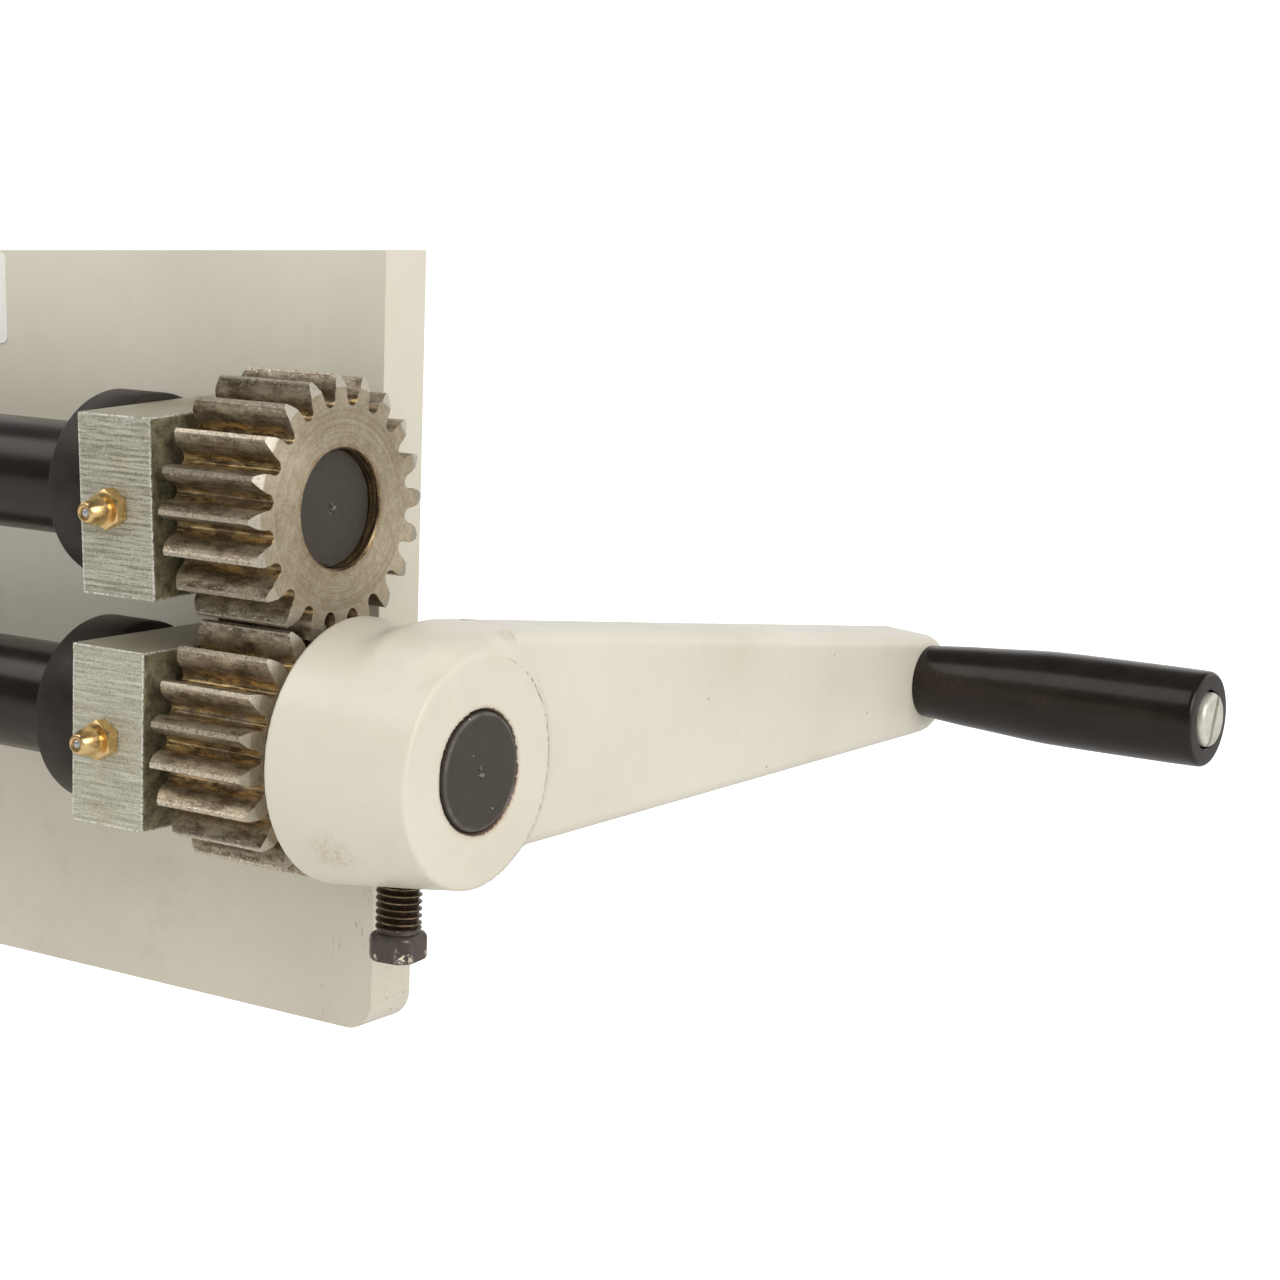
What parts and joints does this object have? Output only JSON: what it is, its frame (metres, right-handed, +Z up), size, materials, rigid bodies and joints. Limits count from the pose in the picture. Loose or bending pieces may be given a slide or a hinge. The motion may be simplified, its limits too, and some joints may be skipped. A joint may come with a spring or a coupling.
{
  "type": "sheet metal crimper",
  "caption": "Bench crimping and beading machine: two geared shafts along a deep C-shaped frame plate on a pedestal, turned by a side crank, with a screw that closes the rolls.",
  "frame": {"origin": "on the floor plane, at the centre of the pedestal's four-hole bolt pattern", "axes": "+X along the shafts towards the crank, +Y from the shafts towards the frame plate, +Z up"},
  "size_m": [0.8063, 0.2762, 0.3754],
  "materials": {
    "enamel": "beige gloss enamel",
    "black_steel": "black oxide",
    "gear_steel": "hobbed steel, oiled",
    "zinc_steel": "zinc plate over coarse brushing",
    "brass": "bright",
    "bronze": "machined bronze",
    "grip_plastic": "glossy black",
    "roll_steel": "hardened and ground"
  },
  "bodies": {
    "root": {"frame_plate": "enamel", "pedestal_base": "enamel", "pedestal_column": "enamel", "pedestal_saddle": "enamel", "saddle_bolts": "zinc_steel", "saddle_nuts": "zinc_steel", "saddle_washers": "zinc_steel", "lower_rear_block": "zinc_steel", "lower_front_block": "zinc_steel", "lower_bushes": "bronze", "lower_nipples": "brass", "block_bolts": "black_steel", "block_washers": "zinc_steel", "screw_yoke": "enamel", "yoke_bolts": "black_steel", "yoke_washers": "zinc_steel"},
    "lower_train": {"lower_shaft": "black_steel", "lower_gear": "gear_steel", "lower_gear_pin": "black_steel", "lower_gear_washer": "black_steel", "lower_collar": "black_steel", "lower_collar_screw": "black_steel", "lower_spacer": "black_steel", "lower_crimp_roll": "roll_steel", "lower_bead_roll": "roll_steel", "lower_roll_key": "black_steel", "lower_roll_washer": "zinc_steel", "lower_roll_nut": "black_steel", "crank_arm": "enamel", "crank_set_screw": "black_steel", "grip_spindle": "zinc_steel"},
    "grip": {"crank_grip": "grip_plastic"},
    "upper_carrier": {"upper_rear_block": "zinc_steel", "upper_front_block": "zinc_steel", "upper_bushes": "bronze", "upper_nipples": "brass", "pivot_bolt": "black_steel", "pivot_washer": "zinc_steel", "screw_keeper": "zinc_steel", "keeper_screws": "black_steel"},
    "upper_train": {"upper_shaft": "black_steel", "upper_gear": "gear_steel", "upper_gear_pin": "black_steel", "upper_gear_washer": "black_steel", "upper_collar": "black_steel", "upper_collar_screw": "black_steel", "upper_spacer": "black_steel", "upper_crimp_roll": "roll_steel", "upper_bead_roll": "roll_steel", "upper_roll_key": "black_steel", "upper_roll_washer": "zinc_steel", "upper_roll_nut": "black_steel"},
    "pad_slider": {"thrust_pad": "bronze"},
    "screw": {"adjusting_screw": "black_steel", "handle_bar": "zinc_steel", "bar_knobs": "grip_plastic"}
  },
  "joints": [
    {"name": "crank_spin", "type": "hinge", "parent": "root", "child": "lower_train", "pos_m": [0.2785, -0.037, 0.2415], "axis": [1, 0, 0], "continuous": true},
    {"name": "grip_spin", "type": "hinge", "parent": "lower_train", "child": "grip", "pos_m": [0.3561, 0.15941, 0.2355], "axis": [1, 0, 0], "continuous": true},
    {"name": "upper_tilt", "type": "hinge", "parent": "root", "child": "upper_carrier", "pos_m": [0.2806, -0.037, 0.2915], "axis": [0, 1, 0], "range_deg": [-0.56013, 0]},
    {"name": "upper_spin", "type": "hinge", "parent": "upper_carrier", "child": "upper_train", "pos_m": [0.2806, -0.037, 0.2915], "axis": [1, 0, 0], "continuous": true},
    {"name": "pad_slide", "type": "slide", "parent": "root", "child": "pad_slider", "axis": [0, 0, 1], "range_m": [-0.0055, 0]},
    {"name": "screw_spin", "type": "hinge", "parent": "pad_slider", "child": "screw", "pos_m": [-0.282, -0.037, 0.2915], "axis": [0, 0, 1], "range_deg": [-990, 0]}
  ],
  "couplings": [
    {"joint": "upper_spin", "follows": "crank_spin", "ratio": -1},
    {"joint": "pad_slide", "follows": "screw_spin", "m_per_rad": 0.00031831},
    {"joint": "upper_tilt", "follows": "screw_spin", "ratio": 0.00056578}
  ]
}
